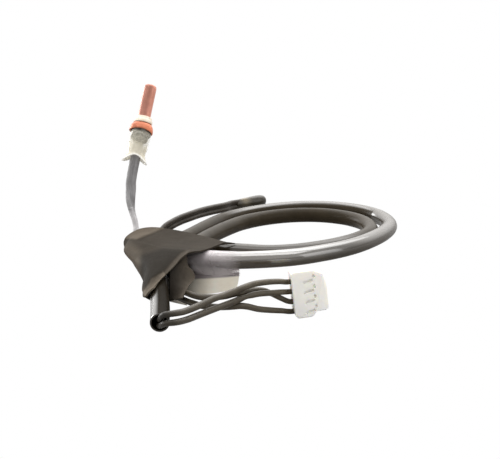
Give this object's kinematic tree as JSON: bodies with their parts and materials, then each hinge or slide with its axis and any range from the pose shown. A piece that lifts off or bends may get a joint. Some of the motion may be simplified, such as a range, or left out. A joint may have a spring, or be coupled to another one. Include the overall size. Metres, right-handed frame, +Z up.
{
  "type": "dual thermistor temperature sensor lead",
  "caption": "Sheathed sensor lead coiled in a ring and bound with tape, with a copper pipe-sensor capsule, a dipped air-sensor bead and a white wire-to-board plug.",
  "frame": {"origin": "centre of the bounding box in plan, at its lowest point", "axes": "+Z up, +X from the tape towards the far side of the coil, +Y away from the open end of the sheath"},
  "size_m": [0.0766, 0.1092, 0.0527],
  "materials": {
    "nylon": "satin",
    "tinned_metal": "satin",
    "copper_strand": "satin",
    "grey_wire_pvc": "satin",
    "sheath_pvc": "gloss",
    "splice_pvc": "satin",
    "dark_wire_pvc": "satin",
    "pvc_tape": "satin",
    "label_film": "satin",
    "copper_capsule": "satin",
    "ring_plastic": "satin",
    "clear_sleeve": "gloss",
    "sealing_compound": "rough",
    "black_epoxy": "gloss",
    "thermistor_chip": "matte"
  },
  "bodies": {
    "connector": {"connector_housing": "nylon", "crimp_terminal_1": "tinned_metal", "crimp_terminal_2": "tinned_metal", "crimp_terminal_3": "tinned_metal", "crimp_terminal_4": "tinned_metal", "conductor_end_1": "copper_strand", "conductor_end_2": "copper_strand", "conductor_end_3": "copper_strand", "conductor_end_4": "copper_strand", "connector_wire_1": "dark_wire_pvc", "connector_wire_2": "dark_wire_pvc", "connector_wire_3": "dark_wire_pvc", "connector_wire_4": "dark_wire_pvc"},
    "harness": {"sheath": "sheath_pvc", "pair_wire_1": "dark_wire_pvc", "pair_wire_2": "dark_wire_pvc", "air_wire_1": "dark_wire_pvc", "air_wire_2": "dark_wire_pvc", "air_splice_1": "splice_pvc", "air_splice_2": "splice_pvc", "air_lead_1": "dark_wire_pvc", "air_lead_2": "dark_wire_pvc", "tape_wrap": "pvc_tape", "marker_label": "label_film"},
    "probe_lead": {"probe_lead_1": "grey_wire_pvc", "probe_lead_2": "grey_wire_pvc"},
    "pipe_sensor": {"probe_wire_1": "grey_wire_pvc", "probe_wire_2": "grey_wire_pvc", "probe_capsule": "copper_capsule", "probe_ring": "ring_plastic", "probe_sleeve": "clear_sleeve", "probe_potting": "sealing_compound", "probe_thermistor": "thermistor_chip", "probe_leg_1": "tinned_metal", "probe_leg_2": "tinned_metal", "probe_conductor_1": "copper_strand", "probe_conductor_2": "copper_strand", "probe_ferrule_1": "tinned_metal", "probe_ferrule_2": "tinned_metal"},
    "air_sensor": {"bead_coating": "black_epoxy", "bead_thermistor": "thermistor_chip", "bead_leg_1": "tinned_metal", "bead_leg_2": "tinned_metal", "bead_lead_1": "dark_wire_pvc", "bead_lead_2": "dark_wire_pvc"}
  },
  "joints": [
    {"name": "harness_swing", "type": "hinge", "parent": "connector", "child": "harness", "pos_m": [-0.00704, -0.03652, 0.00492], "axis": [0, 0, 1], "range_deg": [-18, 18], "stiffness_Nm_per_rad": 0.02},
    {"name": "probe_lead_swing", "type": "hinge", "parent": "harness", "child": "probe_lead", "pos_m": [-0.03496, 0.00443, 0.01662], "axis": [0, 1, 0], "range_deg": [-25, 25], "stiffness_Nm_per_rad": 0.006},
    {"name": "probe_tilt", "type": "hinge", "parent": "probe_lead", "child": "pipe_sensor", "pos_m": [-0.03611, 0.00661, 0.02642], "axis": [1, 0, 0], "range_deg": [-25, 25], "stiffness_Nm_per_rad": 0.006},
    {"name": "air_sensor_lift", "type": "hinge", "parent": "harness", "child": "air_sensor", "pos_m": [-0.02656, 0.02353, 0.01208], "axis": [0.8211, -0.5708, 0], "range_deg": [-4, 25], "stiffness_Nm_per_rad": 0.006}
  ]
}
